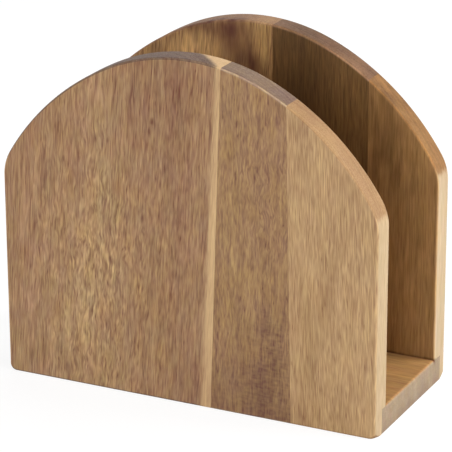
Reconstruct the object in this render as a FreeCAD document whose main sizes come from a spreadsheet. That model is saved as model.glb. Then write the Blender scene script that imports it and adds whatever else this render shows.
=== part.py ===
import FreeCAD, Part
import math
import os

import Sketcher

# Upright wooden napkin holder: two arched panels, each edge-glued from three staves, stand in
# rebates on the two long edges of a base board. The slot between them is open at the top and ends.
#
# Frame: millimetres, +X along the width, +Y from the front panel to the back one, +Z up.
# The origin is the centre of the underside, on the surface that the holder stands on.

SIZES = {
    # whole holder
    "holder_width": (152.0, "length of the panels and the base board, along X"),
    "slot_width": (46.5, "clear gap for the napkins between the panels, along Y"),
    # arched panels
    "panel_thickness": (10.0, "thickness of each panel"),
    "panel_height": (133.2, "underside to the crown of the arch"),
    "crown_radius": (72.5, "arc over the crown"),
    "crown_chord": (61.7, "width of the crown arc"),
    "flank_radius": (99.6, "flatter arc between the crown and a shoulder"),
    "shoulder_radius": (18.7, "arc that turns the flank into the upright side"),
    "left_foot_radius": (3.1, "corner between the left side and the underside, worn the rounder"),
    "right_foot_radius": (2.0, "corner between the right side and the underside"),
    "face_round": (1.0, "round-over along every face edge of a panel"),
    # base board and its rebates
    "base_thickness": (10.0, "thickness of the base board"),
    "front_rebate_depth": (4.0, "how far the base board runs into the front panel"),
    "back_rebate_depth": (5.6, "how far the base board runs into the back panel"),
    "end_ease": (1.2, "eased top edge at each open end of the slot"),
    "underside_ease": (0.3, "eased bottom edge at each end of the base board"),
    # glue lines between the staves: place at the foot, and drift by the crown
    "front_joint_one_foot": (9.9, "left glue line of the front panel"),
    "front_joint_one_drift": (4.7, "it leans to the right"),
    "front_joint_two_foot": (42.5, "right glue line of the front panel"),
    "front_joint_two_drift": (-2.5, "it leans to the left, so the stave tapers"),
    "back_joint_one_foot": (8.4, "left glue line of the back panel"),
    "back_joint_one_drift": (0.0, "it is upright"),
    "back_joint_two_foot": (47.5, "right glue line of the back panel"),
    "back_joint_two_drift": (0.0, "it is upright"),
    # stave blanks before the panel is sawn to its outline
    "saw_allowance": (5.0, "waste on every side of a blank"),
}

X_AXIS_POINT = (-1, 1)
Z_AXIS_LINE = -2
START, END = 1, 2
TOLERANCE = 1e-6


def size(name):
    """The sheet's value of one driving dimension."""
    return SIZES[name][0]


def make_sheet(doc):
    """Write the driving dimensions into a spreadsheet, one alias to a row."""
    sheet = doc.addObject("Spreadsheet::Sheet", "Sizes")
    for row, (name, (value, note)) in enumerate(SIZES.items(), start=1):
        sheet.set(f"A{row}", name)
        sheet.set(f"B{row}", str(value))
        sheet.set(f"C{row}", note)
        sheet.setAlias(f"B{row}", name)
    doc.recompute()
    return sheet


def bind(item, expressions):
    """Bind several properties of an object to the sheet."""
    for prop, expression in expressions.items():
        item.setExpression(prop, expression)


def face_sketch(body, name):
    """A sketch on the body's XZ plane, where sketch x is X, sketch y is Z and out is -Y."""
    plane = next(part for part in body.Origin.OriginFeatures if part.Role == "XZ_Plane")
    sketch = body.newObject("Sketcher::SketchObject", name)
    sketch.AttachmentSupport = [(plane, "")]
    sketch.MapMode = "FlatFace"
    return sketch


def dimension(sketch, name, constraint, expression):
    """Add a named sketch dimension that follows the sheet."""
    index = sketch.addConstraint(constraint)
    sketch.renameConstraint(index, name)
    sketch.setExpression(f"Constraints.{name}", expression)


def arc(centre_x, centre_z, radius, from_angle, to_angle):
    """An arc of a circle in sketch coordinates, turned counter-clockwise."""
    circle = Part.Circle(FreeCAD.Vector(centre_x, centre_z, 0), FreeCAD.Vector(0, 0, 1), radius)
    return Part.ArcOfCircle(circle, from_angle, to_angle)


def line(x_from, z_from, x_to, z_to):
    """A straight line in sketch coordinates."""
    return Part.LineSegment(FreeCAD.Vector(x_from, z_from, 0), FreeCAD.Vector(x_to, z_to, 0))


def draw_arch(sketch, low_foot, high_foot):
    """Draw the panel's outline: crown, two flanks, two shoulders, upright sides and soft feet.

    Every arc runs into the next one without a corner, so the saw cut is one smooth curve. The feet
    are named by the sizes that the corners at low and at high sketch x follow.
    """
    half = size("holder_width") / 2
    crown, flank = size("crown_radius"), size("flank_radius")
    shoulder, low, high = size("shoulder_radius"), size(low_foot), size(high_foot)
    crown_z = size("panel_height") - crown

    crown_turn = math.asin(size("crown_chord") / 2 / crown)
    crown_end_x = crown * math.sin(crown_turn)
    crown_end_z = crown_z + crown * math.cos(crown_turn)
    flank_x = crown_end_x - flank * math.sin(crown_turn)
    flank_z = crown_end_z - flank * math.cos(crown_turn)
    flank_turn = math.asin((half - shoulder - flank_x) / (flank - shoulder))
    shoulder_x = half - shoulder
    shoulder_z = flank_z + (flank - shoulder) * math.cos(flank_turn)

    quarter = math.pi / 2
    outline = [
        line(low - half, 0, half - high, 0),
        arc(half - high, high, high, -quarter, 0),
        line(half, high, half, shoulder_z),
        arc(shoulder_x, shoulder_z, shoulder, 0, quarter - flank_turn),
        arc(flank_x, flank_z, flank, quarter - flank_turn, quarter - crown_turn),
        arc(0, crown_z, crown, quarter - crown_turn, quarter + crown_turn),
        arc(-flank_x, flank_z, flank, quarter + crown_turn, quarter + flank_turn),
        arc(-shoulder_x, shoulder_z, shoulder, quarter + flank_turn, 2 * quarter),
        line(-half, shoulder_z, -half, low),
        arc(low - half, low, low, 2 * quarter, 3 * quarter),
    ]
    sketch.addGeometry(outline, False)
    (underside, right_foot, right_side, right_shoulder, right_flank,
     top, left_flank, left_shoulder, left_side, left_foot) = range(len(outline))

    for this in range(len(outline)):
        following = (this + 1) % len(outline)
        sketch.addConstraint(Sketcher.Constraint("Tangent", this, END, following, START))
    for side in (right_side, left_side):
        sketch.addConstraint(Sketcher.Constraint("Vertical", side))
    for right, left in ((right_shoulder, left_shoulder), (right_flank, left_flank)):
        sketch.addConstraint(Sketcher.Constraint("Equal", right, left))
    sketch.addConstraint(Sketcher.Constraint("PointOnObject", underside, START, -1))
    sketch.addConstraint(Sketcher.Constraint("Horizontal", underside))
    sketch.addConstraint(Sketcher.Constraint("PointOnObject", top, 3, Z_AXIS_LINE))
    sketch.addConstraint(Sketcher.Constraint("Horizontal", top, START, top, END))

    dimension(sketch, "Width",
              Sketcher.Constraint("DistanceX", left_side, START, right_side, START, 2 * half), "Sizes.holder_width")
    dimension(sketch, "HalfWidth", Sketcher.Constraint("DistanceX", *X_AXIS_POINT, right_side, START, half),
              "Sizes.holder_width / 2")
    dimension(sketch, "CrownCentre", Sketcher.Constraint("DistanceY", *X_AXIS_POINT, top, 3, crown_z),
              "Sizes.panel_height - Sizes.crown_radius")
    dimension(sketch, "CrownChord", Sketcher.Constraint("DistanceX", top, END, top, START, 2 * crown_end_x),
              "Sizes.crown_chord")
    for index, radius in ((top, "crown_radius"), (right_flank, "flank_radius"),
                          (right_shoulder, "shoulder_radius"), (left_foot, low_foot),
                          (right_foot, high_foot)):
        dimension(sketch, radius, Sketcher.Constraint("Radius", index, size(radius)), f"Sizes.{radius}")


def edge_names(shape, wanted):
    """Names of the edges that pass a test on their bounding box."""
    return [f"Edge{i}" for i, edge in enumerate(shape.Edges, start=1) if wanted(edge.BoundBox)]


def make_panel(doc, side, turned):
    """A whole arched panel, as it is once its staves are glued and it is sawn, rebated and rounded.

    The body's XZ plane is the inner face, and the wood lies on its -Y side. The back panel is the
    same shape turned half a turn about Z, so its left foot is drawn at high sketch x.
    """
    name = f"{side}_panel"
    body = doc.addObject("PartDesign::Body", name)
    outline = face_sketch(body, f"{name}_outline")
    feet = ("left_foot_radius", "right_foot_radius")
    draw_arch(outline, *(reversed(feet) if turned else feet))

    board = body.newObject("PartDesign::Pad", f"{name}_board")
    board.Profile = outline
    bind(board, {"Length": "Sizes.panel_thickness"})
    doc.recompute()

    rounded = body.newObject("PartDesign::Fillet", f"{name}_round_over")
    rounded.Base = (board, edge_names(board.Shape, lambda box: box.YLength < TOLERANCE))
    bind(rounded, {"Radius": "Sizes.face_round"})
    doc.recompute()

    rebate = body.newObject("PartDesign::SubtractiveBox", f"{name}_rebate")
    bind(rebate, {
        "Length": "Sizes.holder_width + 2 * Sizes.saw_allowance",
        "Width": f"Sizes.{side}_rebate_depth + Sizes.saw_allowance",
        "Height": "Sizes.base_thickness + Sizes.saw_allowance",
        "Placement.Base.x": "-Sizes.holder_width / 2 - Sizes.saw_allowance",
        "Placement.Base.y": f"-Sizes.{side}_rebate_depth",
        "Placement.Base.z": "-Sizes.saw_allowance",
    })
    body.Tip = rebate

    spin = FreeCAD.Rotation(FreeCAD.Vector(0, 0, 1), 180 if turned else 0)
    body.Placement = FreeCAD.Placement(FreeCAD.Vector(0, 0, 0), spin)
    bind(body, {"Placement.Base.y": f"{'' if turned else '-'}Sizes.slot_width / 2"})
    doc.recompute()
    return body


def glue_line(joint):
    """Expressions for a glue line's x at the blank's bottom and top end, past the panel's own ends."""
    drift = f"Sizes.{joint}_drift * Sizes.saw_allowance / Sizes.panel_height"
    return (f"Sizes.{joint}_foot - {drift}",
            f"Sizes.{joint}_foot + Sizes.{joint}_drift + {drift}")


def outer_edge(sign):
    """Expressions for a blank's outer edge, which stands clear of the panel's upright side."""
    edge = f"{sign}(Sizes.holder_width / 2 + Sizes.saw_allowance)"
    return edge, edge


def make_blank(doc, name, left, right, face_y):
    """A stave's blank: a board with two glued edges, which may lean, and waste all round."""
    body = doc.addObject("PartDesign::Body", name)
    sketch = face_sketch(body, f"{name}_edges")
    bottom_z, top_z = -size("saw_allowance"), size("panel_height") + size("saw_allowance")
    half = size("holder_width") / 2
    corners = [(-half, bottom_z), (half, bottom_z), (half, top_z), (-half, top_z)]
    for (x_from, z_from), (x_to, z_to) in zip(corners, corners[1:] + corners[:1]):
        sketch.addGeometry(line(x_from, z_from, x_to, z_to), False)
    for side in range(4):
        sketch.addConstraint(Sketcher.Constraint("Coincident", side, END, (side + 1) % 4, START))
    for side in (0, 2):
        sketch.addConstraint(Sketcher.Constraint("Horizontal", side))
    dimension(sketch, "Bottom", Sketcher.Constraint("DistanceY", *X_AXIS_POINT, 0, START, bottom_z),
              "-Sizes.saw_allowance")
    dimension(sketch, "Top", Sketcher.Constraint("DistanceY", *X_AXIS_POINT, 2, START, top_z),
              "Sizes.panel_height + Sizes.saw_allowance")
    ends = (("LeftBottom", -half, left[0]), ("RightBottom", half, right[0]),
            ("RightTop", half, right[1]), ("LeftTop", -half, left[1]))
    for side, (label, x_start, expression) in enumerate(ends):
        dimension(sketch, label, Sketcher.Constraint("DistanceX", *X_AXIS_POINT, side, START, x_start), expression)

    board = body.newObject("PartDesign::Pad", f"{name}_board")
    board.Profile = sketch
    board.Midplane = True
    bind(board, {"Length": "2 * (Sizes.panel_thickness + Sizes.saw_allowance)"})
    bind(body, {"Placement.Base.y": face_y})
    doc.recompute()
    return body


def make_staves(doc, panel, side, face_y):
    """Cut one panel along its glue lines into its three staves."""
    first, second = glue_line(f"{side}_joint_one"), glue_line(f"{side}_joint_two")
    edges = [outer_edge("-"), first, second, outer_edge("")]
    staves = []
    for place, left, right in zip(("left", "middle", "right"), edges, edges[1:]):
        stave = doc.addObject("Part::Common", f"{side}_{place}_stave")
        stave.Base = panel
        stave.Tool = make_blank(doc, f"{side}_{place}_blank", left, right, face_y)
        staves.append(stave)
    return staves


def make_base(doc):
    """The base board: eased at the open ends of the slot, square where it seats in the rebates."""
    body = doc.addObject("PartDesign::Body", "base_board")
    floor = body.newObject("PartDesign::AdditiveBox", "slot_floor")
    bind(floor, {
        "Length": "Sizes.holder_width",
        "Width": "Sizes.slot_width",
        "Height": "Sizes.base_thickness",
        "Placement.Base.x": "-Sizes.holder_width / 2",
        "Placement.Base.y": "-Sizes.slot_width / 2",
    })
    doc.recompute()

    top = size("base_thickness")
    eased = body.newObject("PartDesign::Fillet", "eased_ends")
    eased.Base = (floor, edge_names(
        floor.Shape, lambda box: box.XLength < TOLERANCE and abs(box.ZMin - top) < TOLERANCE))
    bind(eased, {"Radius": "Sizes.end_ease"})
    doc.recompute()

    for side, edge_y in (("front", "-Sizes.slot_width / 2 - Sizes.front_rebate_depth"),
                         ("back", "Sizes.slot_width / 2")):
        tongue = body.newObject("PartDesign::AdditiveBox", f"{side}_tongue")
        bind(tongue, {
            "Length": "Sizes.holder_width",
            "Width": f"Sizes.{side}_rebate_depth",
            "Height": "Sizes.base_thickness",
            "Placement.Base.x": "-Sizes.holder_width / 2",
            "Placement.Base.y": edge_y,
        })
        doc.recompute()

    broken = body.newObject("PartDesign::Fillet", "eased_underside")
    broken.Base = (tongue, edge_names(
        tongue.Shape, lambda box: box.XLength < TOLERANCE and box.ZMax < TOLERANCE))
    bind(broken, {"Radius": "Sizes.underside_ease"})
    body.Tip = broken
    doc.recompute()
    return body


def check(doc, pieces):
    """Stop if any object failed, or a piece is not one sound solid."""
    for item in doc.Objects:
        if {"Invalid", "Error"} & set(item.State):
            raise RuntimeError(f"{item.Name} failed: {item.State}")
    for piece in pieces:
        shape = piece.Shape
        if shape.isNull() or not shape.isValid() or len(shape.Solids) != 1:
            raise RuntimeError(f"{piece.Label} is not one sound solid")


def check_panel(panel, staves):
    """Stop unless a panel's staves add up to the whole panel, with no gap and no overlap."""
    total = sum(stave.Shape.Volume for stave in staves)
    if abs(total - panel.Shape.Volume) > TOLERANCE * panel.Shape.Volume:
        raise RuntimeError(f"{panel.Label}: staves hold {total:.1f} of {panel.Shape.Volume:.1f} mm3")


def main():
    doc = FreeCAD.newDocument("NapkinHolder")
    make_sheet(doc)

    pieces = []
    for side, turned, face_y in (("front", False, "-Sizes.slot_width / 2"),
                                 ("back", True, "Sizes.slot_width / 2")):
        panel = make_panel(doc, side, turned)
        staves = make_staves(doc, panel, side, face_y)
        doc.recompute()
        check_panel(panel, staves)
        pieces += staves
    pieces.append(make_base(doc))

    doc.recompute()
    check(doc, pieces)

    os.makedirs("parts", exist_ok=True)
    for piece in pieces:
        piece.Shape.exportStep(f"parts/{piece.Label}.step")
        box = piece.Shape.optimalBoundingBox()
        print(f"{piece.Label}: {piece.Shape.Volume / 1000:.1f} cm3, "
              f"{box.XLength:.1f} x {box.YLength:.1f} x {box.ZLength:.1f} mm")


main()
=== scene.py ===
"""Looks of an upright acacia napkin holder: two arched panels of three glued staves and a base board.

Sizes in the classes are millimetres, as a maker would mark them out. Meshes are in metres, in the
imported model's frame: +X along the width, +Y from the front panel to the back one, +Z up.
"""
import logging
import math
from collections.abc import Iterable, Mapping
from dataclasses import dataclass
from enum import Enum
from functools import cached_property

import bmesh
import bpy
import numpy as np
from mathutils import Matrix, Vector


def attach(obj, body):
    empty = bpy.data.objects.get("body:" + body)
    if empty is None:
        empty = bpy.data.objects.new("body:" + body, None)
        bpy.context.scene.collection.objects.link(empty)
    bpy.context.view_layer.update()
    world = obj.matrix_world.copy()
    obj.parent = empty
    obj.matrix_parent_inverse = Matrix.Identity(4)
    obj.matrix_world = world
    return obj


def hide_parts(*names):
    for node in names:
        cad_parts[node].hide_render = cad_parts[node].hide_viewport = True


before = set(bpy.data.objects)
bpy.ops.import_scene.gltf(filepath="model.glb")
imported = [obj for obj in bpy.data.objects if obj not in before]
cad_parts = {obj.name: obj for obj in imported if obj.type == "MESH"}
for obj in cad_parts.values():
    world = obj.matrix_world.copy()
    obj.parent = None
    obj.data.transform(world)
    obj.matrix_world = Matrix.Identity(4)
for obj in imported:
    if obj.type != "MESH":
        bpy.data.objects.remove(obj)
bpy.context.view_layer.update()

log = logging.getLogger("napkin_holder")

Array = np.ndarray
Pair = tuple[float, float]
Triple = tuple[float, float, float]
Socket = bpy.types.NodeSocket
Tree = bpy.types.NodeTree
Piece = bpy.types.Object
Value = float | Iterable[float] | Socket

MM = 0.001
TOUCHING = 1e-6
CRISP_ANGLE = math.radians(32)
ARRIS_LAYER = "arris"
PLACES = ("left", "middle", "right")
ORIGIN = (0.0, 0.0, 0.0)
ALONG_X = (1.0, 0.0, 0.0)
ALONG_Z = (0.0, 0.0, 1.0)
LEVEL = (1.0, 1.0, 0.0)
WHITE = (1.0, 1.0, 1.0, 1.0)
GOLDEN = (0.985, 1.0, 0.93, 1.0)


def linear(screen: Triple) -> Array:
    """Turn a colour written in screen values, 0 to 255, into linear light from 0 to 1."""
    share = np.asarray(screen) / 255.0
    return np.where(share <= 0.04045, share / 12.92, ((share + 0.055) / 1.055) ** 2.4)


# --- Shader graphs ---


@dataclass
class Graph:
    """A node tree, with one short call for each kind of node that the finishes use."""

    tree: Tree

    def add(self, kind: str, inputs: Mapping[str | int, Value] | None = None,
            **settings: object) -> bpy.types.Node:
        """Add a node.

        Args:
            kind: Blender's name for the node type.
            inputs: Plain values, or sockets to link, by input name or index.
            **settings: The node's own properties.

        Returns:
            The new node.
        """
        node = self.tree.nodes.new(kind)
        for name, value in settings.items():
            setattr(node, name, value)
        for name, value in (inputs or {}).items():
            if isinstance(value, bpy.types.NodeSocket):
                self.tree.links.new(value, node.inputs[name])
            else:
                node.inputs[name].default_value = value
        return node

    def math(self, operation: str, *values: Value) -> Socket:
        """Return the result of a math node."""
        return self.add("ShaderNodeMath", dict(enumerate(values)), operation=operation).outputs[0]

    def times(self, first: Value, second: Value) -> Socket:
        """Return the product of two numbers."""
        return self.math("MULTIPLY", first, second)

    def total(self, values: Iterable[Value]) -> Value:
        """Add up numbers.

        Args:
            values: The numbers, one or more.

        Returns:
            Their sum.
        """
        first, *others = values
        for other in others:
            first = self.math("ADD", first, other)
        return first

    def vector(self, operation: str, *values: Value, output: str = "Vector") -> Socket:
        """Return the result of a vector math node, whose output is Value where it's one number."""
        return self.add("ShaderNodeVectorMath", dict(enumerate(values)), operation=operation).outputs[output]

    def scaled(self, vector: Value, factor: Value) -> Socket:
        """Return a vector times a number."""
        inputs = {"Vector": vector, "Scale": factor}
        return self.add("ShaderNodeVectorMath", inputs, operation="SCALE").outputs[0]

    def joined(self, x: Value, y: Value, z: Value) -> Socket:
        """Return a vector made of three numbers."""
        return self.add("ShaderNodeCombineXYZ", {"X": x, "Y": y, "Z": z}).outputs[0]

    def height(self, vector: Value) -> Socket:
        """Return the z of a vector."""
        return self.add("ShaderNodeSeparateXYZ", {0: vector}).outputs["Z"]

    def facing(self, direction: Value) -> Socket:
        """Return how squarely the surface faces either way along a direction, from 0 to 1."""
        normal = self.add("ShaderNodeTexCoord").outputs["Normal"]
        return self.math("ABSOLUTE", self.vector("DOT_PRODUCT", normal, direction, output="Value"))

    def smooth(self, value: Value, low: Value, high: Value) -> Socket:
        """Return 0 below low, 1 above high and a smooth step between."""
        inputs = {"Value": value, "From Min": low, "From Max": high}
        return self.add("ShaderNodeMapRange", inputs, interpolation_type="SMOOTHSTEP").outputs[0]

    def noise(self, place: Value, detail: float, roughness: float = 0.5, output: str = "Fac") -> Socket:
        """Return a noise whose cells are one unit of the place across."""
        inputs = {"Vector": place, "Scale": 1.0, "Detail": detail, "Roughness": roughness}
        return self.add("ShaderNodeTexNoise", inputs).outputs[output]

    def tone(self, noise: Value, swing: float) -> Socket:
        """Return a noise less its middle value, times a swing."""
        return self.times(self.math("SUBTRACT", noise, 0.5), swing)

    def wave(self, place: Value, detail: float, roughness: float = 0.5) -> Socket:
        """Return a vector that waves about zero: the colour of a noise less its middle value."""
        return self.vector("SUBTRACT", self.noise(place, detail, roughness, "Color"), (0.5, 0.5, 0.5))

    def mixed(self, factor: Value, first: Value, second: Value, way: str = "MIX") -> Socket:
        """Return two colours mixed, without a limit on the factor."""
        return self.add("ShaderNodeMix", {0: factor, 6: first, 7: second},
                        data_type="RGBA", blend_type=way, clamp_factor=False).outputs[2]

    def use(self, group: Tree, **inputs: Value) -> bpy.types.NodeOutputs:
        """Place a shared effect and return its outputs."""
        return self.add("ShaderNodeGroup", inputs, node_tree=group).outputs


class Effect(Graph):
    """A shared effect while it is wired: a node group whose inputs are read from given."""

    def __init__(self, name: str, **inputs: float | Triple) -> None:
        """Open a new node group.

        Args:
            name: The group's name.
            **inputs: Default of each input. A triple makes a vector input.
        """
        super().__init__(bpy.data.node_groups.new(name, "ShaderNodeTree"))
        for label, default in inputs.items():
            kind = "Vector" if isinstance(default, tuple) else "Float"
            socket = self.tree.interface.new_socket(label, in_out="INPUT", socket_type=f"NodeSocket{kind}")
            socket.default_value = default
        self.given = self.add("NodeGroupInput").outputs

    def cells(self) -> Socket:
        """Return cells to the millimetre, where a cell is one Width across and one Length long."""
        across = self.math("DIVIDE", 1.0, self.given["Width"])
        return self.joined(across, across, self.math("DIVIDE", 1.0, self.given["Length"]))

    def in_cells(self, cells: Value, *shift: Value) -> Socket:
        """Return the input Grain times cells to the millimetre, plus a shift in cells."""
        return self.vector("MULTIPLY_ADD", self.given["Grain"], cells, self.joined(*shift))

    def give(self, **results: Socket) -> Tree:
        """Put the results out of the group.

        Args:
            **results: Socket of each output, by the output's name.

        Returns:
            The finished group.
        """
        for label, result in results.items():
            kind = "Vector" if isinstance(result, bpy.types.NodeSocketVector) else "Float"
            self.tree.interface.new_socket(label, in_out="OUTPUT", socket_type=f"NodeSocket{kind}")
        self.add("NodeGroupOutput", results)
        return self.tree


def blank_graph(owner: bpy.types.Material | bpy.types.World) -> Graph:
    """Give a material or a world an empty node tree.

    Args:
        owner: The material or world.

    Returns:
        The tree, ready to wire.
    """
    owner.use_nodes = True
    owner.node_tree.nodes.clear()
    return Graph(owner.node_tree)


class WoodEffects:
    """The effects that every board's finish is made of, each a node group built at its first use."""

    @cached_property
    def grain(self) -> Tree:
        """Straighten the wood: a point less the tree's lean, its slow wander and its tight curl.

        Point is in millimetres from the pith at the foot, with Z along the fibres. Each wave is a
        noise vector, stretched along the fibres, times its swing. Radius is the distance from the pith.

        Returns:
            A group that gives Grain and Radius.
        """
        graph = Effect("wood_grain_space", Point=ORIGIN, Lean=ORIGIN, Wander=1.0, Curl=0.0,
                       Cells=(0.2, 0.2, 0.1), Seed=0.0)
        given = graph.given
        leaning = graph.scaled(given["Lean"], graph.height(given["Point"]))
        upright = moved = graph.vector("SUBTRACT", given["Point"], leaning)
        slow_cells = (1 / 38, 1 / 38, 1 / 95)
        for cells, swing in ((slow_cells, given["Wander"]), (given["Cells"], given["Curl"])):
            place = graph.vector("MULTIPLY_ADD", upright, cells, graph.joined(given["Seed"], 3.7, 1.9))
            wave = graph.scaled(graph.wave(place, detail=1.0), graph.times(swing, 4.0))
            moved = graph.vector("ADD", moved, graph.vector("MULTIPLY", wave, LEVEL))
        radius = graph.vector("LENGTH", graph.vector("MULTIPLY", moved, LEVEL), output="Value")
        return graph.give(Grain=moved, Radius=radius)

    @cached_property
    def streaks(self) -> Tree:
        """Tone from streaks along the grain: noise in cells one width across and one length long.

        Returns:
            A group that gives Tone.
        """
        graph = Effect("wood_streaks", Grain=ORIGIN, Width=1.0, Length=20.0, Seed=0.0)
        seed = graph.given["Seed"]
        noise = graph.noise(graph.in_cells(graph.cells(), seed, seed, 5.3), detail=1.0)
        return graph.give(Tone=graph.tone(noise, swing=7.0))

    @cached_property
    def dashes(self) -> Tree:
        """Mask of the dark vessel dashes: the highest part of stretched noise, cut with a soft step.

        Returns:
            A group that gives Mask.
        """
        graph = Effect("wood_dashes", Grain=ORIGIN, Width=0.5, Length=4.0, Amount=0.3, Seed=0.0)
        seed = graph.given["Seed"]
        noise = graph.noise(graph.in_cells(graph.cells(), seed, 8.1, seed), detail=0.6)
        low = graph.math("SUBTRACT", 0.78, graph.times(graph.given["Amount"], 0.4))
        return graph.give(Mask=graph.smooth(noise, low, high=graph.math("ADD", low, 0.13)))

    @cached_property
    def rings(self) -> Tree:
        """Tone from growth rings: noise along the radius alone, with one year to a cell.

        Returns:
            A group that gives Tone.
        """
        graph = Effect("growth_rings", Radius=0.0, Spacing=6.0, Seed=0.0)
        given = graph.given
        year = graph.math("ADD", graph.math("DIVIDE", given["Radius"], given["Spacing"]), given["Seed"])
        inputs = {"W": year, "Scale": 1.0, "Detail": 2.0, "Roughness": 0.6}
        noise = graph.add("ShaderNodeTexNoise", inputs, noise_dimensions="1D").outputs[0]
        return graph.give(Tone=graph.tone(noise, swing=6.0))

    @cached_property
    def ripple(self) -> Tree:
        """Tone from cross-grain figure: noise in cells that are wider than they are long.

        Returns:
            A group that gives Tone.
        """
        graph = Effect("cross_ripple", Grain=ORIGIN, Seed=0.0)
        seed = graph.given["Seed"]
        place = graph.in_cells((1 / 2.6, 1 / 2.6, 1 / 1.1), seed, 4.4, seed)
        return graph.give(Tone=graph.tone(graph.noise(place, detail=1.5), swing=7.0))

    @cached_property
    def patch(self) -> Tree:
        """Mask of one soft cloud: 1 at its centre, 0 beyond its reach, with an uneven edge.

        Lean is how far the cloud goes to +X with each millimetre of height.

        Returns:
            A group that gives Mask.
        """
        graph = Effect("wood_patch", Place=ORIGIN, Centre=ORIGIN, Reach=(1.0, 1.0, 1.0), Lean=0.0)
        given = graph.given
        away = graph.vector("SUBTRACT", given["Place"], given["Centre"])
        leaning = graph.joined(graph.times(graph.height(away), given["Lean"]), 0.0, 0.0)
        share = graph.vector("DIVIDE", graph.vector("SUBTRACT", away, leaning), given["Reach"])
        uneven = graph.noise(graph.vector("MULTIPLY", given["Place"], (0.22, 0.22, 0.07)), detail=2.0)
        length = graph.vector("LENGTH", share, output="Value")
        far = graph.math("ADD", length, graph.tone(uneven, swing=1.4))
        return graph.give(Mask=graph.math("SUBTRACT", 1.0, graph.smooth(far, low=0.1, high=1.1)))

    @cached_property
    def drift(self) -> Tree:
        """Tint that drifts over a board: red and blue each follow a noise of their own, green stays.

        Returns:
            A group that gives Tint.
        """
        graph = Effect("wood_drift", Grain=ORIGIN, Red=0.0, Blue=0.0, Seed=0.0)
        given, seed = graph.given, graph.given["Seed"]
        place = graph.in_cells((1 / 5, 1 / 5, 1 / 12), seed, 2.2, seed)
        wave = graph.wave(place, detail=3.0, roughness=0.7)
        swing = graph.scaled(graph.joined(given["Red"], 0.0, given["Blue"]), 12.0)
        return graph.give(Tint=graph.vector("MULTIPLY_ADD", wave, swing, (1.0, 1.0, 1.0)))

    @cached_property
    def lenses(self) -> Tree:
        """Tone of interlocked grain: stretched cells, pale inside and dark where two of them meet.

        Short streaks, about half as wide and half as long as the cells, run among them.

        Returns:
            A group that gives Tone.
        """
        graph = Effect("interlocked_lenses", Grain=ORIGIN, Width=1.5, Length=7.0, Seed=0.0)
        seed = graph.given["Seed"]
        place = graph.in_cells(graph.cells(), seed, 6.1, seed)
        cells = graph.add("ShaderNodeTexVoronoi", {"Vector": place, "Scale": 1.0}, feature="DISTANCE_TO_EDGE")
        inside = graph.smooth(cells.outputs["Distance"], low=-0.12, high=0.30)
        streak = graph.tone(graph.noise(graph.scaled(place, 1.9), detail=0.7), swing=3.2)
        return graph.give(Tone=graph.math("ADD", streak, graph.math("MULTIPLY_ADD", inside, 0.6, -0.42)))

    @cached_property
    def end_grain(self) -> Tree:
        """Mask of surfaces that cut across the fibres: the share of the normal along them, stepped.

        Returns:
            A group that gives Mask.
        """
        graph = Effect("end_grain", Fibre=ALONG_Z, Place=ORIGIN, Start=0.16)
        given = graph.given
        uneven = graph.noise(graph.vector("MULTIPLY", given["Place"], (1.2, 1.2, 0.4)), detail=1.0)
        share = graph.math("ADD", graph.facing(given["Fibre"]), graph.tone(uneven, swing=0.12))
        full = graph.math("ADD", given["Start"], 0.18)
        return graph.give(Mask=graph.smooth(share, given["Start"], full))

    @cached_property
    def arris(self) -> Tree:
        """Mask of the painted arris highlight: the mesh's own layer, broken up a little along the edge.

        Returns:
            A group that gives Mask.
        """
        graph = Effect("painted_arris_highlight", Place=ORIGIN)
        layer = graph.add("ShaderNodeAttribute", attribute_name=ARRIS_LAYER).outputs["Fac"]
        uneven = graph.noise(graph.vector("MULTIPLY", graph.given["Place"], (0.3, 0.3, 0.3)), detail=2.0)
        return graph.give(Mask=graph.times(layer, graph.math("MULTIPLY_ADD", uneven, 1.2, 0.4)))


WOOD = WoodEffects()


# --- Finishes ---


@dataclass(frozen=True)
class Patch:
    """A soft cloud in a board, and what it does to the wood there.

    Its centre is (x, y, z) in millimetres. Wide, deep and high are its reach along X, Y and Z.
    """

    x: float
    z: float
    wide: float
    high: float
    y: float = -33.0
    deep: float = 60.0
    lean: float = 0.0
    tone: float = 0.0
    gold: float = 0.0
    red: float = 0.0
    curl: float = 0.0
    lenses: float = 0.0
    dashes: float = 0.0
    ripple: float = 0.0
    calm: float = 0.0

    def mask(self, graph: Graph, place: Socket) -> Socket:
        """Put the cloud in a finish's graph, where place is in millimetres, and return its mask."""
        return graph.use(WOOD.patch, Place=place, Centre=(self.x, self.y, self.z),
                         Reach=(self.wide, self.deep, self.high), Lean=self.lean)["Mask"]


@dataclass(frozen=True)
class Streaks:
    """One family of streaks along the grain: size in millimetres and contrast."""

    width: float
    length: float
    contrast: float

    def tone(self, graph: Graph, grain: Socket, seed: float) -> Socket:
        """Put the family in a finish's graph, on its straightened grain, and return its tone."""
        streaks = graph.use(WOOD.streaks, Grain=grain, Width=self.width, Length=self.length, Seed=seed)
        return graph.times(streaks["Tone"], self.contrast)


class Fibres(Enum):
    """The way that a board's fibres run, as the turn that brings them upright."""

    UPRIGHT = (0.0, 0.0, 0.0)
    LENGTHWISE = (0.0, -math.pi / 2, 0.0)


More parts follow.
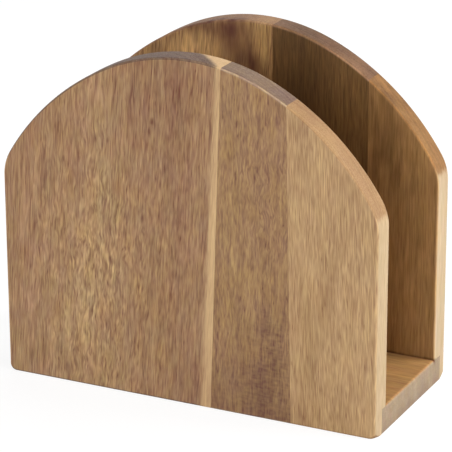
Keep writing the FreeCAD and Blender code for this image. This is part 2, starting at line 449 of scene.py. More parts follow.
@dataclass(frozen=True)
class AcaciaFinish:
    """Oiled acacia, as one board shows it.

    Lengths are millimetres and contrasts are shares of the ground's own brightness. The pith is the
    line that the growth rings go round, where it would pass the foot of the board. Fading is the
    share of the figure that is lost on the flanks and on the end grain.
    """

    name: str
    ground: Triple
    pith: Pair
    streaks: tuple[Streaks, ...]
    end_tint: Triple
    patches: tuple[Patch, ...]
    seed: float
    lean: Pair = (0.0, 0.0)
    fibres: Fibres = Fibres.UPRIGHT
    wander: float = 1.0
    curl: float = 0.15
    curl_size: Pair = (5.0, 9.0)
    ring_spacing: float = 7.0
    ring_contrast: float = 0.05
    dash_size: Pair = (0.65, 4.2)
    dash_amount: float = 0.30
    dash_contrast: float = 0.34
    tone_axis: Triple = (0.76, 1.0, 0.92)
    drift: Pair = (0.015, 0.035)
    sapwood: Triple = (208, 172, 126)
    sapwood_radius: float | None = None
    sapwood_edge: Pair = (-1.0, 1.3)
    sapwood_figure: float = 0.4
    # Share of the painted arris highlight that is kept on sapwood.
    sapwood_highlight: float = 0.15
    end_bands: float = 0.10
    end_band_spacing: float = 1.5
    end_start: float = 0.16
    end_fading: float = 0.5
    side_tint: Triple = (1.12, 1.16, 1.24)
    side_fading: float = 0.55
    side_sharpness: float = 4.0
    # Colour of the painted highlight along the rounded arrises.
    arris_highlight_tint: Triple = (1.35, 1.40, 1.50)
    roughness: float = 0.56
    dash_roughness: float = 0.12
    streak_roughness: float = -0.3
    end_roughness: float = 0.10
    relief_strength: float = 0.2
    relief_depth: float = 0.1
    oil_index: float = 1.46
    oil_gloss: float = 0.36

    def toned(self, graph: Graph, screen: Triple, tone: Value) -> Socket:
        """Return a screen colour with each part multiplied by 1 + the tone times its share on the axis."""
        dark, light = (linear(screen) * (1 + end * np.array(self.tone_axis)) for end in (-0.5, 0.5))
        return graph.mixed(graph.math("ADD", tone, 0.5), (*dark, 1.0), (*light, 1.0))

    def material(self) -> bpy.types.Material:
        """Build the material, which reads only object coordinates, normals and the arris layer.

        Returns:
            The material.
        """
        material = bpy.data.materials.new(self.name)
        graph = blank_graph(material)
        where = graph.add("ShaderNodeTexCoord").outputs["Object"]
        place = graph.scaled(where, 1 / MM)
        board = graph.add("ShaderNodeMapping", {
            "Vector": where, "Location": (-self.pith[0], -self.pith[1], 0.0),
            "Rotation": self.fibres.value, "Scale": (1 / MM,) * 3}).outputs[0]
        clouds = [patch.mask(graph, place) for patch in self.patches]

        def gathered(base: float, quality: str) -> Value:
            """Return a base value plus each patch's own share of a quality, where the patch lies."""
            shares = [(cloud, getattr(patch, quality)) for cloud, patch in zip(clouds, self.patches)]
            return graph.total([*(graph.times(cloud, share) for cloud, share in shares if share), base])

        across, along = self.curl_size
        grain, radius = graph.use(
            WOOD.grain, Point=board, Lean=(*self.lean, 0.0), Wander=self.wander, Seed=self.seed,
            Curl=gathered(self.curl, "curl"), Cells=(1 / across, 1 / across, 1 / along)).values()
        streaks = [family.tone(graph, grain, self.seed + 2.3 * number)
                   for number, family in enumerate(self.streaks)]
        rings, bands = (graph.use(WOOD.rings, Radius=radius, Spacing=spacing, Seed=seed)["Tone"]
                        for spacing, seed in ((self.ring_spacing, self.seed),
                                              (self.end_band_spacing, self.seed + 5.0)))
        width, length = self.dash_size
        dashes = graph.use(WOOD.dashes, Grain=grain, Width=width, Length=length,
                           Amount=gathered(self.dash_amount, "dashes"), Seed=self.seed)["Mask"]
        red, blue = self.drift
        drift = graph.use(WOOD.drift, Grain=grain, Red=red, Blue=blue, Seed=self.seed + 9.0)["Tint"]
        fibre = ALONG_X if self.fibres is Fibres.LENGTHWISE else ALONG_Z
        ends = graph.use(WOOD.end_grain, Fibre=fibre, Place=place, Start=self.end_start)["Mask"]

        # Figure: the streaks, dashes and local marks, which fade on the flanks and the end grain.
        lively = graph.math("SUBTRACT", 1.0, gathered(0.0, "calm"))
        figure = [graph.times(graph.total([*streaks, graph.times(dashes, -self.dash_contrast)]), lively)]
        for quality in ("ripple", "lenses"):
            if any(getattr(patch, quality) for patch in self.patches):
                local = graph.use(getattr(WOOD, quality), Grain=grain, Seed=self.seed)["Tone"]
                figure.append(graph.times(local, gathered(0.0, quality)))
        sides = graph.math("POWER", graph.facing(ALONG_X), self.side_sharpness)
        flank = graph.times(sides, graph.math("SUBTRACT", 1.0, ends))
        kept = graph.math("MULTIPLY_ADD", flank, -self.side_fading,
                          graph.math("MULTIPLY_ADD", ends, -self.end_fading, 1.0))
        faded = graph.times(graph.total(figure), kept)
        # Tone: the broad changes, and the figure in proportion to them.
        broad = graph.total([graph.times(rings, self.ring_contrast), gathered(0.0, "tone"),
                             graph.times(graph.times(bands, ends), self.end_bands)])
        tone = graph.math("MULTIPLY_ADD", faded, graph.math("ADD", broad, 1.0), broad)

        colour = graph.mixed(1.0, self.toned(graph, self.ground, tone), drift, "MULTIPLY")
        blush = graph.joined(gathered(1.0, "red"), 1.0, 1.0)
        for share, tint in ((1.0, blush), (gathered(0.0, "gold"), GOLDEN), (ends, (*self.end_tint, 1.0))):
            colour = graph.mixed(share, colour, tint, "MULTIPLY")
        # Painted highlight: the rounded arrises are lightened where light would catch them, less on sapwood.
        arris = graph.use(WOOD.arris, Place=place)["Mask"]
        if self.sapwood_radius is not None:
            edge = graph.math("ADD", streaks[1], radius)
            sap = graph.smooth(edge, *(self.sapwood_radius + side for side in self.sapwood_edge))
            sap_tone = graph.math("MULTIPLY_ADD", faded, self.sapwood_figure, gathered(0.0, "tone"))
            colour = graph.mixed(sap, colour, self.toned(graph, self.sapwood, sap_tone))
            arris = graph.times(arris, graph.math("MULTIPLY_ADD", sap, self.sapwood_highlight - 1.0, 1.0))
        for mask, tint in ((flank, self.side_tint), (arris, self.arris_highlight_tint)):
            colour = graph.mixed(mask, colour, (*tint, 1.0), "MULTIPLY")

        fine = streaks[-1]
        relief = graph.math("SUBTRACT", graph.times(fine, 2.0), dashes)
        bump = graph.add("ShaderNodeBump", {"Strength": self.relief_strength,
                                            "Distance": self.relief_depth * MM, "Height": relief}).outputs[0]
        shares = ((dashes, self.dash_roughness), (fine, self.streak_roughness), (ends, self.end_roughness))
        rough = graph.total([*(graph.times(mark, share) for mark, share in shares), self.roughness])
        shader = graph.add("ShaderNodeBsdfPrincipled", {
            "Base Color": colour, "Roughness": rough, "Normal": bump,
            "IOR": self.oil_index, "Specular IOR Level": self.oil_gloss})
        graph.add("ShaderNodeOutputMaterial", {"Surface": shader.outputs[0]})
        return material


FRONT_LEFT = AcaciaFinish(
    "acacia_front_left", ground=(160, 123, 89), pith=(-51.5, -85.3), lean=(0.055, 0.0), seed=1.0, wander=0.5,
    streaks=(Streaks(3, 60, 0.075), Streaks(1.2, 22, 0.13), Streaks(0.5, 7, 0.24)), curl_size=(4.5, 8.0),
    ring_spacing=5.0, ring_contrast=0.03, dash_size=(0.7, 4.6), sapwood_radius=77.0, drift=(0.020, 0.045),
    patches=(
        Patch(-39, 42, 30, 96, tone=0.24, curl=0.5, lenses=0.44, dashes=0.1, calm=0.35),
        Patch(-42, 36, 13, 62, lean=0.30, tone=0.23, gold=0.2, red=-0.02),
        Patch(-32, 96, 7, 40, tone=0.06, gold=0.2, red=-0.03),
        Patch(-66, 38, 10, 70, tone=0.15, gold=-0.5, calm=0.12),
        Patch(-65, 88, 3, 34, lean=0.12, tone=-0.14, red=0.02),
        Patch(-48, 92, 4, 30, tone=-0.12, red=0.02),
        Patch(-15, 82, 4, 40, lean=-0.05, tone=-0.12, gold=-0.9, red=-0.02, calm=-0.12),
        Patch(-15, 30, 8, 50, tone=-0.03, gold=0.9, red=0.01),
        Patch(-10, 130, 22, 34, y=-30, deep=40, tone=-0.18, gold=0.4, calm=-0.30),
        Patch(-3, 60, 9, 80, tone=-0.06),
        Patch(-6, 56, 4, 34, tone=0.07),
        Patch(-31, 14, 7, 24, tone=0.06, gold=0.3, red=-0.02),
        Patch(6, 10, 11, 28, tone=-0.16),
        Patch(-5, 66, 22, 110, lenses=0.30, calm=0.35),
    ),
    end_tint=(0.39, 0.40, 0.50), end_bands=0.14, arris_highlight_tint=(1.8, 1.9, 1.9))
FRONT_MIDDLE = AcaciaFinish(
    "acacia_front_middle", ground=(158, 122, 85), pith=(14.0, -105.0), lean=(0.02, 0.0), seed=2.0, wander=0.7,
    ring_contrast=0.03, streaks=(Streaks(3, 60, 0.07), Streaks(1.2, 14, 0.12), Streaks(0.55, 3.8, 0.20)),
    curl_size=(6.5, 8.0), dash_size=(0.65, 3.4), tone_axis=(0.79, 1.0, 0.75), drift=(0.010, 0.046),
    patches=(
        Patch(28, 0, 36, 46, tone=-0.29, gold=0.7, ripple=0.07),
        Patch(34, 12, 13, 40, lean=0.1, tone=-0.15, gold=1.0, red=-0.02, calm=0.12, ripple=0.15),
        Patch(33, 84, 14, 36, gold=-0.2, curl=0.8, dashes=0.1),
        Patch(18, 70, 8, 70, tone=0.04, gold=0.3),
        Patch(24, 76, 24, 60, lenses=0.08),
        Patch(36, 112, 6, 20, tone=-0.05, gold=-0.6),
        Patch(38, 124, 5, 10, y=-28, deep=40, tone=-0.20),
    ),
    end_tint=(0.59, 0.65, 0.87), end_bands=0.20, arris_highlight_tint=(2.78, 3.12, 3.0))
FRONT_RIGHT = AcaciaFinish(
    "acacia_front_right", ground=(183, 147, 105), pith=(58.0, -90.0), lean=(-0.03, 0.03), seed=3.0,
    streaks=(Streaks(3, 60, 0.05), Streaks(1.1, 20, 0.02), Streaks(0.4, 7, 0.20)), wander=0.7, curl=0.06,
    ring_spacing=4.5, ring_contrast=0.02, dash_size=(0.48, 5.0), dash_amount=0.34, dash_contrast=0.26,
    tone_axis=(0.79, 1.0, 1.0), drift=(0.008, 0.018),
    patches=(
        Patch(47.5, 42, 4.5, 40, lean=-0.16, tone=-0.10, gold=0.4),
        Patch(57, 52, 4, 50, lean=0.22, tone=-0.12, gold=0.4),
        Patch(52, 36, 9, 38, tone=-0.07, gold=0.4),
        Patch(48, 2, 8, 13, tone=-0.13, gold=0.6),
        Patch(61, 6, 10, 17, tone=-0.12, gold=0.6),
        Patch(45, 24, 2.5, 20, tone=0.06),
        Patch(47, 104, 4, 16, tone=-0.14),
        Patch(45, 50, 4, 22, tone=-0.09, red=0.02),
        Patch(71, 48, 5, 50, tone=0.05),
        Patch(54, 104, 9, 28, tone=0.10),
        Patch(46, 119, 8, 14, y=-24, deep=9, tone=-0.12),
    ),
    end_tint=(0.76, 0.70, 0.64), side_tint=(1.13, 1.30, 1.49), arris_highlight_tint=(1.25, 1.28, 1.3))
BACK_LEFT = AcaciaFinish(
    "acacia_back_left", ground=(158, 121, 78), pith=(-30.0, 60.0), lean=(0.05, 0.0), seed=4.0,
    streaks=(Streaks(3, 60, 0.06), Streaks(1.2, 16, 0.16), Streaks(0.45, 6.5, 0.24)), ring_spacing=9.0,
    dash_contrast=0.12, tone_axis=(0.85, 1.0, 0.95), end_tint=(0.79, 0.74, 0.85),
    patches=(
        Patch(-24, 119, 16, 9, 22, 13, tone=0.94, gold=-0.8),
        Patch(-22, 130, 24, 5.5, 22, 13, tone=-0.42, red=0.02),
        Patch(-25.5, 126, 1.8, 7, 22, 13, tone=-0.22),
        Patch(-17, 126, 1.8, 9, 22, 13, tone=-0.18),
        Patch(-33, 122, 1.6, 6, 22, 13, tone=-0.35),
        Patch(-40, 115, 8, 14, 22, 13, tone=-0.12, gold=0.3),
        Patch(-8, 126, 9, 13, 22, 13, tone=-0.48, gold=-0.9, red=0.02, calm=0.7),
        Patch(-2.5, 119, 5.5, 8, 22, 13, tone=-0.35, calm=0.3),
        Patch(0.5, 114, 8, 7, 22, 13, tone=-0.55),
        Patch(4.5, 127, 5, 14, 22, 13, tone=0.32, gold=0.6),
        Patch(4, 134, 10, 6, 29, 12, tone=0.25),
    ))
BACK_MIDDLE = AcaciaFinish(
    "acacia_back_middle", ground=(96, 67, 33), pith=(30.0, 95.0), seed=5.0, ring_contrast=0.06,
    streaks=(Streaks(3, 60, 0.08), Streaks(1.2, 18, 0.12), Streaks(0.5, 6.5, 0.18)), dash_contrast=0.14,
    tone_axis=(0.85, 1.0, 1.2), end_tint=(1.25, 1.25, 2.1), end_bands=0.15, arris_highlight_tint=(1.9, 2.0, 2.0),
    patches=(
        Patch(41, 60, 11, 160, 25, tone=0.46),
        Patch(20, 104, 10, 60, 25, 12, tone=-0.34, gold=1.5),
        Patch(11, 120, 5, 20, 25, tone=0.15),
        # Painted shade: a dark line where the base board meets the back panel's inner face.
        Patch(45, 10, 50, 1.0, 23.25, 2.5, tone=-0.60),
    ))
# Its ground is darker than its wood, partly as painted shade of the slot that its inner face looks into; its
# side tint lifts the side faces back to the paler wood.
BACK_RIGHT = AcaciaFinish(
    "acacia_back_right", ground=(162, 122, 74), pith=(70.0, 90.0), seed=6.0, end_tint=(0.81, 0.72, 0.59),
    side_tint=(1.57, 2.14, 3.6), dash_contrast=0.10, tone_axis=(0.9, 1.0, 1.15),
    streaks=(Streaks(3, 80, 0.06), Streaks(1.2, 26, 0.08), Streaks(0.5, 9, 0.14)),
    arris_highlight_tint=(1.5, 1.5, 1.5),
    patches=(
        Patch(55, 100, 14, 34, 25, 12, tone=-0.44),
        Patch(49, 50, 10, 90, 25, tone=-0.08),
        Patch(70, 84, 10, 16, 25, 12, tone=-0.15),
        Patch(66, 12, 20, 26, 23, 6, tone=-0.10, gold=-0.8, red=-0.05),
        # Painted shade: a dark line where the base board meets the back panel's inner face.
        Patch(56, 10, 40, 1.0, 23.25, 2.5, tone=-0.60),
    ))
BASE = AcaciaFinish(
    "acacia_base", ground=(170, 128, 79), pith=(0.0, -40.0), fibres=Fibres.LENGTHWISE, seed=7.0,
    streaks=(Streaks(3, 60, 0.07), Streaks(1.2, 18, 0.08), Streaks(0.5, 6.5, 0.11)), drift=(0.025, 0.045),
    end_tint=(0.85, 1.14, 1.96), end_bands=0.04, end_start=0.62, arris_highlight_tint=(1.10, 1.06, 1.0),
    dash_contrast=0.12, patches=(
        # Painted shade: the base's right end is darker towards its bottom edge.
        Patch(76, 0, 8, 5, 0, tone=-0.20),
        # Painted shade: a dark line where the base's top meets the back panel's inner face.
        Patch(62, 10, 90, 2.0, 23.25, 1.0, tone=-0.50),
    ))


# --- Meshes ---


def linked(name: str, data: bpy.types.ID) -> Piece:
    """Put something into the scene at the origin.

    Args:
        name: The object's name.
        data: A mesh, a lamp or a camera.

    Returns:
        The object.
    """
    item = bpy.data.objects.new(name, data)
    bpy.context.scene.collection.objects.link(item)
    return item


def mesh_object(name: str, points: Array, faces: Iterable[Iterable[int]]) -> Piece:
    """Make a mesh object.

    Args:
        name: Name of the object and of its mesh.
        points: Its vertices, in millimetres.
        faces: Vertex numbers of each face.

    Returns:
        The object.
    """
    mesh = bpy.data.meshes.new(name)
    mesh.from_pydata((points * MM).tolist(), [], list(faces))
    return linked(name, mesh)


def tube(name: str, flat: Array, y: Array, highlight_share: Array) -> Piece:
    """Carry an outline along Y as a closed tube, with a flat face over each end.

    A quad joins two neighbours of a ring to the same two of the next ring, and the last place of a
    ring joins the first. Vertex number is ring times points to a ring, plus place in the ring.

    Args:
        name: The piece's name.
        flat: Points of each ring, as x and z.
        y: Where each point stands along Y.
        highlight_share: Share of the painted arris highlight at each point, from 0 to 1.

    Returns:
        The object, with the arris layer on it.
    """
    along, around = y.shape
    start, place = np.meshgrid(np.arange(along - 1) * around, np.arange(around), indexing="ij")
    here, there = start + place, start + (place + 1) % around
    quads = np.stack([here, there, there + around, here + around], axis=-1).reshape(-1, 4)
    first = np.arange(around)
    last = (along - 1) * around + first
    points = np.stack([flat[..., 0], y, flat[..., 1]], axis=-1).reshape(-1, 3)
    piece = mesh_object(name, points, [*quads.tolist(), first[::-1].tolist(), last.tolist()])
    layer = piece.data.attributes.new(ARRIS_LAYER, "FLOAT", "POINT")
    layer.data.foreach_set("value", highlight_share.ravel().astype(np.float32))
    return piece


def point_outwards(mesh: bpy.types.Mesh) -> None:
    """Turn every face of a closed mesh outwards.

    Args:
        mesh: The mesh, changed in place.
    """
    work = bmesh.new()
    work.from_mesh(mesh)
    bmesh.ops.recalc_face_normals(work, faces=work.faces)
    work.to_mesh(mesh)
    work.free()


def dress(piece: Piece, node: str, finish: AcaciaFinish) -> Piece:
    """Smooth a piece but for its crisp edges, finish it, ride it on the root body and hide its CAD node.

    Args:
        piece: The piece.
        node: The CAD node that it replaces, which it hides.
        finish: The board's finish.

    Returns:
        The same piece.
    """
    piece.data.shade_smooth()
    piece.data.set_sharp_from_angle(angle=CRISP_ANGLE)
    piece.data.materials.append(finish.material())
    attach(piece, "root")
    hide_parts(node)
    return piece


@dataclass(frozen=True)
class ArchOutline:
    """Outline of a panel: crown, flanks, shoulders and feet, each arc running into the next."""

    width: float = 152.0
    height: float = 133.2
    crown_radius: float = 72.5
    crown_chord: float = 61.7
    flank_radius: float = 99.6
    shoulder_radius: float = 18.7
    foot_radius: float = 3.1
    least_steps: int = 6

    def half(self, step: float) -> tuple[Array, Array]:
        """Sample the right half of the outline.

        A point on an arc is its centre plus its radius times (sin t, cos t), where t is the turn
        from straight up, and (sin t, cos t) is also the normal. The half runs from the middle of
        the underside up to the crown.

        Args:
            step: Greatest distance between points.

        Returns:
            Points and outward normals, as x and z.
        """
        half = self.width / 2
        crown_turn = math.asin(self.crown_chord / 2 / self.crown_radius)
        crown = np.array([0.0, self.height - self.crown_radius])
        inwards = self.crown_radius - self.flank_radius
        flank = crown + inwards * np.array([math.sin(crown_turn), math.cos(crown_turn)])
        shoulder_x = half - self.shoulder_radius
        reach = self.flank_radius - self.shoulder_radius
        flank_turn = math.asin((shoulder_x - flank[0]) / reach)
        shoulder = np.array([shoulder_x, flank[1] + reach * math.cos(flank_turn)])
        foot = np.array([half - self.foot_radius, self.foot_radius])
        arcs = ((foot, self.foot_radius, math.pi, math.pi / 2),
                (shoulder, self.shoulder_radius, math.pi / 2, flank_turn),
                (flank, self.flank_radius, flank_turn, crown_turn),
                (crown, self.crown_radius, crown_turn, 0.0))
        points, normals = [np.array([[0.0, 0.0]])], [np.array([[0.0, -1.0]])]
        for centre, radius, start, end in arcs:
            count = max(self.least_steps, math.ceil(radius * abs(start - end) / step)) + 1
            turn = np.linspace(start, end, count)
            normal = np.column_stack([np.sin(turn), np.cos(turn)])
            arc = centre + radius * normal
            before = points[-1][-1]
            gap = np.linalg.norm(arc[0] - before)
            joined = gap < TOUCHING
            if not joined:
                share = np.linspace(0.0, 1.0, math.ceil(gap / step) + 1)[1:-1, None]
                points.append(before * (1 - share) + arc[0] * share)
                normals.append(np.repeat(normal[:1], len(share), axis=0))
            points.append(arc[int(joined):])
            normals.append(normal[int(joined):])
        return np.concatenate(points), np.concatenate(normals)

    def loop(self, step: float) -> tuple[Array, Array]:
        """Sample the whole outline likewise, anticlockwise: the right half, then its mirror image."""
        return tuple(np.concatenate([side, side[-2:0:-1] * (-1.0, 1.0)]) for side in self.half(step))

    def squared(self, rim: Array, share: Array) -> Array:
        """Make the corners at the feet tighter.

        A point on a foot's arc keeps only a share of its way from the square corner, which is the
        same as that share of the radius. Other points stay.

        Args:
            rim: Points of the loop, as x and z.
            share: Share of the radius to keep, one row of values to a ring of the loop.

        Returns:
            One copy of the loop to a row of the shares.
        """
        corner = np.column_stack([np.sign(rim[:, 0]) * self.width / 2, np.zeros(len(rim))])
        at_foot = np.all(np.abs(rim - corner) <= self.foot_radius + TOUCHING, axis=1)
        return corner + (rim - corner) * np.where(at_foot, share, 1.0)[..., None]


@dataclass(frozen=True)
class GlueLine:
    """A glue line between two staves: where it meets the foot, and its drift by the crown."""

    foot: float
    drift: float = 0.0


class Side(Enum):
    """Which panel: the sign of Y on its outer side."""

    FRONT = -1
    BACK = 1


@dataclass(frozen=True)
class ArchedPanel:
    """One panel: three staves glued edge to edge, sawn to the arch, rebated and smoothed with sandpaper.

    A sanding wave is how many times it goes round the panel, where it starts and how strong it is.
    """

    side: Side
    glue_lines: tuple[GlueLine, GlueLine]
    finishes: tuple[AcaciaFinish, AcaciaFinish, AcaciaFinish]
    rebate_depth: float
    outline: ArchOutline = ArchOutline()
    thickness: float = 10.0
    slot_width: float = 46.5
    face_round: float = 1.0
    round_steps: int = 7
    flat_inset: float = 1.1
    foot_wear_depth: float = 6.0
    foot_wear_rings: int = 7
    foot_wear_power: float = 1.6
    least_foot: float = 0.2
    hand_sanding: float = 0.10
    sanding_waves: tuple[Triple, ...] = ((5, 0.7, 1.0), (11, 2.1, 0.6), (23, 0.0, 0.4))
    rebate_height: float = 10.0
    step: float = 0.8

    def shell(self) -> Piece:
        """Carry the panel's edge profile round its outline.

        The profile is (inset, depth): a short flat, a quarter circle from the outer face, the flat
        of the edge, a quarter circle to the inner face and a short flat. A point is the outline's
        point less the inset along its normal, at that depth from the outer face. The quarter circles
        carry a painted highlight in the arris layer, strongest at their middle by the cube of sin 2t,
        and their radius drifts a little round the panel. The feet are rounded by wear at the outer
        face, and squarer with depth: their radius is times one less the share of the wear's depth,
        to a power. Past that depth the rebate takes them away.

        Returns:
            The whole panel as one closed shell.
        """
        rim, normals = self.outline.loop(self.step)
        turn = np.linspace(0.0, math.pi / 2, self.round_steps + 1)
        clear, past = 1.5 * self.face_round, self.foot_wear_depth + 0.3
        edge = np.linspace(clear, past, self.foot_wear_rings)
        level = np.zeros(len(edge))
        inward, rise, highlight_profile = 1 - np.sin(turn), 1 - np.cos(turn), np.sin(2 * turn) ** 3
        inset = np.concatenate([[self.flat_inset], inward, level, inward[::-1], [self.flat_inset]])
        rise = np.concatenate([[0.0], rise, level, -rise[::-1], [0.0]])
        start = np.concatenate([np.zeros(len(turn) + 1), edge, np.full(len(turn) + 1, self.thickness)])
        highlight_share = np.concatenate([[0.0], highlight_profile, level, highlight_profile[::-1], [0.0]])

        way = np.arange(len(rim)) / len(rim) * 2 * math.pi
        drift = sum(share * np.sin(times * way + phase) for times, phase, share in self.sanding_waves) / 2.0
        radius = self.face_round * (1 + self.hand_sanding * (drift - 1.0) / 2.0)
        depth = rise[:, None] * radius[None] + start[:, None]
        wear = np.clip(1 - depth / self.foot_wear_depth, self.least_foot, 1.0) ** self.foot_wear_power
        wear = np.where(depth > self.foot_wear_depth + self.face_round, 1.0, wear)
        flat = self.outline.squared(rim, wear) - (inset[:, None] * radius[None])[..., None] * normals[None]
        y = self.side.value * (self.slot_width / 2 + self.thickness - depth)
        return tube("panel", flat, y, np.repeat(highlight_share, len(rim)))

    def rebate(self, panel: Piece) -> None:
        """Cut the rebate for the base board along the foot of the inner face, with an exact Boolean.

        Args:
            panel: The closed shell, which gets a new mesh.
        """
        inner, spare = self.slot_width / 2, 4.0
        near, deep = self.side.value * (inner - spare), self.side.value * (inner + self.rebate_depth)
        span = self.outline.width / 2 + spare
        levels = (-spare, self.rebate_height)
        corners = [(x, y, z) for z in levels for y in (near, deep) for x in (-span, span)]
        faces = [(0, 2, 3, 1), (4, 5, 7, 6), (0, 1, 5, 4), (2, 6, 7, 3), (0, 4, 6, 2), (1, 3, 7, 5)]
        tool = mesh_object("rebate_tool", np.array(corners), faces)
        point_outwards(tool.data)
        cut = panel.modifiers.new("rebate", "BOOLEAN")
        cut.operation, cut.solver, cut.object = "DIFFERENCE", "EXACT", tool
        bpy.context.view_layer.update()
        shaped = bpy.data.meshes.new_from_object(panel.evaluated_get(bpy.context.evaluated_depsgraph_get()))
        panel.modifiers.clear()
        panel.data = shaped
        bpy.data.objects.remove(tool)

    def stave(self, panel: Piece, number: int, name: str) -> Piece:
        """Cut one stave out of the panel at its glue lines and close the cut faces.

        Args:
            panel: The rebated panel.
            number: 0 for the left stave, 1 for the middle one and 2 for the right one.
            name: The stave's name.

        Returns:
            The stave as a closed mesh of its own.
        """
        work = bmesh.new()
        work.from_mesh(panel.data)
        for line, keep_right in ((number - 1, True), (number, False)):
            if not 0 <= line < len(self.glue_lines):
                continue
            glue = self.glue_lines[line]
            cut = bmesh.ops.bisect_plane(
                work, geom=[*work.verts, *work.edges, *work.faces], dist=1e-7,
                plane_co=(glue.foot * MM, 0.0, 0.0),
                plane_no=Vector((self.outline.height, 0.0, -glue.drift)).normalized(),
                clear_inner=keep_right, clear_outer=not keep_right)
            open_edges = [item for item in cut["geom_cut"] if isinstance(item, bmesh.types.BMEdge)]
            bmesh.ops.edgeloop_fill(work, edges=open_edges)
        bmesh.ops.recalc_face_normals(work, faces=work.faces)
        mesh = bpy.data.meshes.new(name)
        work.to_mesh(mesh)
        work.free()
        return linked(name, mesh)

    def build(self) -> list[Piece]:
        """Build the panel and cut it up.

        Returns:
            The three staves from left to right, dressed.
        """
        panel = self.shell()
        self.rebate(panel)
        side = self.side.name.lower()
        staves = [dress(self.stave(panel, number, f"stave_{side}_{place}"), f"{side}_{place}_stave", finish)
                  for number, (place, finish) in enumerate(zip(PLACES, self.finishes))]
        bpy.data.objects.remove(panel)
        return staves


@dataclass(frozen=True)
class BaseBoard:
    """The base board: eased at the open ends of the slot, square where it seats in the rebates."""

    length: float = 152.0
    slot_width: float = 46.5
    front_tongue: float = 4.0
    back_tongue: float = 5.6
    thickness: float = 10.0
    end_ease: float = 1.2
    seat_ease: float = 0.03
    underside_ease: float = 0.3
    # Share of the painted arris highlight on the underside corners.
    underside_highlight: float = 0.3
    corner_steps: int = 6
    finish: AcaciaFinish = BASE

    def profile(self, ease: float) -> Array:
        """Outline of the board seen from the front, with eased corners.

        Each corner is a quarter circle: its centre plus its radius times (cos t, sin t).

        Args:
            ease: Radius of the two top corners.

        Returns:
            Points as x and z, anticlockwise from the right bottom corner.
        """
        turn = np.linspace(0.0, math.pi / 2, self.corner_steps + 1)
        corners = []
        for quarter, (end, z, radius) in enumerate((
                (1, 0.0, self.underside_ease), (1, self.thickness, ease),
                (-1, self.thickness, ease), (-1, 0.0, self.underside_ease))):
            angle = turn + (quarter - 1) * math.pi / 2
            centre = np.array([end * (self.length / 2 - radius), abs(z - radius)])
            corners.append(centre + radius * np.column_stack([np.cos(angle), np.sin(angle)]))
        return np.concatenate(corners)

    def build(self) -> Piece:
        """Carry the profile along Y, with its top corners square in the tongues and eased in the slot.

        Returns:
            The board, dressed.
        """
        slot = self.slot_width / 2
        stations = np.array([-slot - self.front_tongue, -slot, -slot, slot, slot, slot + self.back_tongue])
        eases = (self.seat_ease, self.seat_ease, self.end_ease, self.end_ease, self.seat_ease, self.seat_ease)
        flat = np.stack([self.profile(ease) for ease in eases])
        y = np.broadcast_to(stations[:, None], flat.shape[:2])
        # Painted arris highlight, weaker on the underside corners.
        highlight_profile = np.sin(2 * np.linspace(0.0, math.pi / 2, self.corner_steps + 1))
        ring = np.concatenate([highlight_profile * self.underside_highlight, highlight_profile, highlight_profile, highlight_profile * self.underside_highlight])
        board = tube("board_base", flat, y, np.tile(ring, len(stations)))
        point_outwards(board.data)
        return dress(board, "base_board", self.finish)


# --- Studio ---


def bearing(azimuth: float, elevation: float) -> Vector:
    """Return the way out from the holder, with azimuth 0 in front of it and 90 on its right."""
    around, up = math.radians(azimuth), math.radians(elevation)
    return Vector((math.sin(around) * math.cos(up), -math.cos(around) * math.cos(up), math.sin(up)))


@dataclass(frozen=True)
class Softbox:
    """A square lamp that faces the object, with its angles in degrees and its sizes in metres."""

    name: str
    azimuth: float
    elevation: float
    distance: float
    size: float
    power: float

    def build(self, target: Vector) -> None:
        """Place the lamp, facing a target.

        Args:
            target: What it lights.
        """
        lamp = bpy.data.lights.new(self.name, "AREA")
        lamp.shape, lamp.size, lamp.energy = "SQUARE", self.size, self.power
        away = bearing(self.azimuth, self.elevation)
        holder = linked(self.name, lamp)
        holder.location = target + away * self.distance
        holder.rotation_euler = away.to_track_quat("Z", "Y").to_euler()


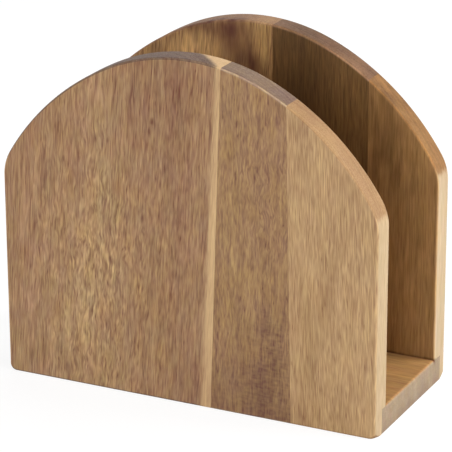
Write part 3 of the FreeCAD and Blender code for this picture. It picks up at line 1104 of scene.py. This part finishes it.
@dataclass(frozen=True)
class Studio:
    """White floor, measured in metres, soft lamps, an even sky and the camera."""

    floor_size: float = 6.0
    floor_bounce: float = 0.62
    floor_glow: float = 0.86
    shadow_share: float = 0.22
    horizon: float = 0.12
    zenith: float = 0.06
    softboxes: tuple[Softbox, ...] = (
        Softbox("front", 1.0, 15.0, 1.5, 1.1, 15.2),
        Softbox("right_high", 75.0, 55.0, 1.2, 0.7, 4.6),
        Softbox("right_behind", 114.0, 25.0, 1.2, 0.7, 13.4),
        Softbox("behind", 205.0, 35.0, 1.5, 1.1, 4.5),
    )
    camera_azimuth: float = 26.2021
    camera_elevation: float = 19.8423
    camera_roll: float = -0.22429
    camera_distance: float = 989.06
    aim_height: float = 60.8
    aim_right: float = 0.1788
    aim_up: float = -1.1886
    lens: float = 210.33
    sensor: float = 36.0

    def seen(self, graph: Graph) -> Socket:
        """Tell the rays that show the background.

        Args:
            graph: The graph that asks.

        Returns:
            1 for rays from the camera, mirrored or passed through, and 0 for others.
        """
        path = graph.add("ShaderNodeLightPath").outputs
        rays = graph.total([path[f"Is {kind} Ray"] for kind in ("Camera", "Glossy", "Transmission")])
        return graph.math("MINIMUM", rays, 1.0)

    def floor(self) -> None:
        """Lay the floor: white where it is looked at, with a faint shadow, and pale grey to other rays.

        Where it is looked at, a plain glow and a weak diffuse share add up to white in full light.
        """
        corners = np.array([(-1, -1, 0), (1, -1, 0), (1, 1, 0), (-1, 1, 0)]) * (self.floor_size / 2 / MM)
        floor = mesh_object("floor", corners, [(0, 1, 2, 3)])
        material = bpy.data.materials.new("studio_floor")
        graph = blank_graph(material)
        seen = self.seen(graph)
        bounce, shadow = ((share, share, share, 1.0) for share in (self.floor_bounce, self.shadow_share))
        lit = graph.add("ShaderNodeBsdfDiffuse", {"Color": graph.mixed(seen, bounce, shadow)}).outputs[0]
        strength = graph.times(seen, self.floor_glow)
        glow = graph.add("ShaderNodeEmission", {"Color": WHITE, "Strength": strength}).outputs[0]
        both = graph.add("ShaderNodeAddShader", {0: lit, 1: glow}).outputs[0]
        graph.add("ShaderNodeOutputMaterial", {"Surface": both})
        floor.data.materials.append(material)

    def sky(self) -> None:
        """Make the world: brighter at the horizon than overhead, and plain white where it is looked at."""
        world = bpy.data.worlds.new("studio_sky")
        graph = blank_graph(world)
        seen = self.seen(graph)
        towards = graph.add("ShaderNodeTexCoord").outputs["Generated"]
        steep = graph.math("ABSOLUTE", graph.height(towards))
        ambient = graph.math("MULTIPLY_ADD", steep, self.zenith - self.horizon, self.horizon)
        strength = graph.math("MULTIPLY_ADD", seen, graph.math("SUBTRACT", 1.0, ambient), ambient)
        light = graph.add("ShaderNodeBackground", {"Color": WHITE, "Strength": strength}).outputs[0]
        graph.add("ShaderNodeOutputWorld", {"Surface": light})
        bpy.context.scene.world = world

    def camera(self) -> None:
        """Place the camera: back from its aim along the view, and turned a little about the view."""
        back = bearing(self.camera_azimuth, self.camera_elevation)
        right = Vector(ALONG_Z).cross(back).normalized()
        up = back.cross(right)
        aim = Vector((0.0, 0.0, self.aim_height)) + right * self.aim_right + up * self.aim_up
        data = bpy.data.cameras.new("camera")
        data.sensor_fit, data.sensor_width, data.lens = "HORIZONTAL", self.sensor, self.lens
        data.clip_start, data.clip_end = 0.05, 20.0
        camera = linked("camera", data)
        camera.location = (aim + back * self.camera_distance) * MM
        roll = math.radians(self.camera_roll)
        across = right * math.cos(roll) + up * math.sin(roll)
        upright = up * math.cos(roll) - right * math.sin(roll)
        camera.rotation_euler = Matrix((across, upright, back)).transposed().to_euler()
        bpy.context.scene.camera = camera

    def build(self) -> None:
        """Set up the whole studio."""
        self.camera()
        self.floor()
        self.sky()
        for softbox in self.softboxes:
            softbox.build(Vector((0.0, 0.0, self.aim_height * MM)))
        bpy.context.scene.view_settings.view_transform = "Standard"


FRONT_PANEL = ArchedPanel(Side.FRONT, (GlueLine(9.9, 4.7), GlueLine(42.5, -2.5)),
                          (FRONT_LEFT, FRONT_MIDDLE, FRONT_RIGHT), rebate_depth=4.0)
BACK_PANEL = ArchedPanel(Side.BACK, (GlueLine(8.4), GlueLine(47.5)),
                         (BACK_LEFT, BACK_MIDDLE, BACK_RIGHT), rebate_depth=5.6)


def main() -> None:
    logging.basicConfig(level=logging.INFO, format="%(name)s: %(message)s")
    Studio().build()
    pieces = [*FRONT_PANEL.build(), *BACK_PANEL.build(), BaseBoard().build()]
    for piece in pieces:
        log.info("%s: %d faces", piece.name, len(piece.data.polygons))


if __name__ == "__main__":
    main()
